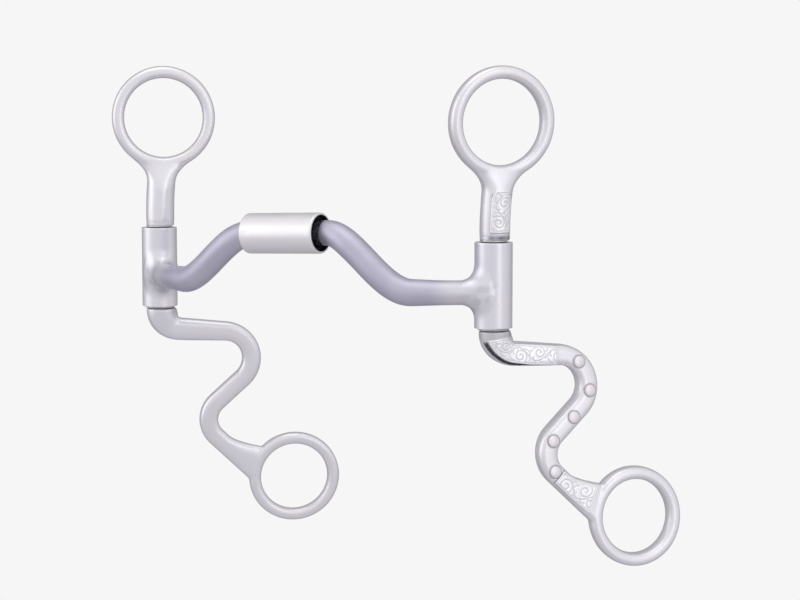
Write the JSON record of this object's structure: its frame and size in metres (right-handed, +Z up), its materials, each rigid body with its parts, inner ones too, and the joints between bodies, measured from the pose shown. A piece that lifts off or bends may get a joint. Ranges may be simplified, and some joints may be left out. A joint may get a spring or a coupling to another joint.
{
  "type": "curb bit",
  "caption": "Loose-jaw curb bit: two S-shaped cheeks with headstall and rein rings swivel in sleeves on a jointed, swept and raised mouthpiece with a centre roller.",
  "frame": {"origin": "midway between the two sleeve axes, at half the height of the sleeves", "axes": "+X from the left cheek to the right one along the mouthpiece, +Z up along the sleeves, -Y towards the side to which the mouthpiece is swept"},
  "size_m": [0.205, 0.0777, 0.1732],
  "materials": {
    "stainless": "satin, finely brushed",
    "sleeve_steel": "satin, turned",
    "roller_steel": "satin, turned",
    "sweet_iron": "blue-grey cold-rolled sweet iron, satin",
    "weld_steel": "dressed weld, satin",
    "silver_overlay": "engraved bright silver with darkened cuts",
    "silver_stud": "domed, polished",
    "dark_bushing": "black, matt",
    "pin_steel": "turned, unpolished"
  },
  "bodies": {
    "left_mouthpiece": {"left_cannon": "sweet_iron", "left_sleeve": "sleeve_steel", "left_weld_fillet": "weld_steel", "left_upper_washer": "pin_steel", "left_lower_washer": "pin_steel"},
    "right_mouthpiece": {"right_cannon": "sweet_iron", "right_sleeve": "sleeve_steel", "right_weld_fillet": "weld_steel", "right_upper_washer": "pin_steel", "right_lower_washer": "pin_steel", "centre_pin": "pin_steel"},
    "roller": {"roller": "roller_steel", "left_bushing": "dark_bushing", "right_bushing": "dark_bushing"},
    "left_cheek": {"left_purchase": "stainless", "left_shank": "stainless", "left_swivel_pin": "pin_steel", "left_neck_overlay": "silver_overlay", "left_level_overlay": "silver_overlay", "left_rein_overlay": "silver_overlay", "left_stud_1": "silver_stud", "left_stud_2": "silver_stud", "left_stud_3": "silver_stud", "left_stud_4": "silver_stud", "left_stud_5": "silver_stud"},
    "right_cheek": {"right_purchase": "stainless", "right_shank": "stainless", "right_swivel_pin": "pin_steel", "right_neck_overlay": "silver_overlay", "right_level_overlay": "silver_overlay", "right_rein_overlay": "silver_overlay", "right_stud_1": "silver_stud", "right_stud_2": "silver_stud", "right_stud_3": "silver_stud", "right_stud_4": "silver_stud", "right_stud_5": "silver_stud"}
  },
  "joints": [
    {"name": "roller_spin", "type": "hinge", "parent": "left_mouthpiece", "child": "roller", "pos_m": [0, -0.02, 0.0162], "axis": [0.9992, 0, 0.0401], "continuous": true},
    {"name": "mouth_joint", "type": "hinge", "parent": "left_mouthpiece", "child": "right_mouthpiece", "pos_m": [0, -0.02, 0.0162], "axis": [0.9992, 0, 0.0401], "range_deg": [-15, 15]},
    {"name": "left_swivel", "type": "hinge", "parent": "left_mouthpiece", "child": "left_cheek", "pos_m": [-0.0705, 0, 0], "axis": [0, 0, 1], "continuous": true},
    {"name": "right_swivel", "type": "hinge", "parent": "right_mouthpiece", "child": "right_cheek", "pos_m": [0.0705, 0, 0], "axis": [0, 0, 1], "continuous": true}
  ]
}
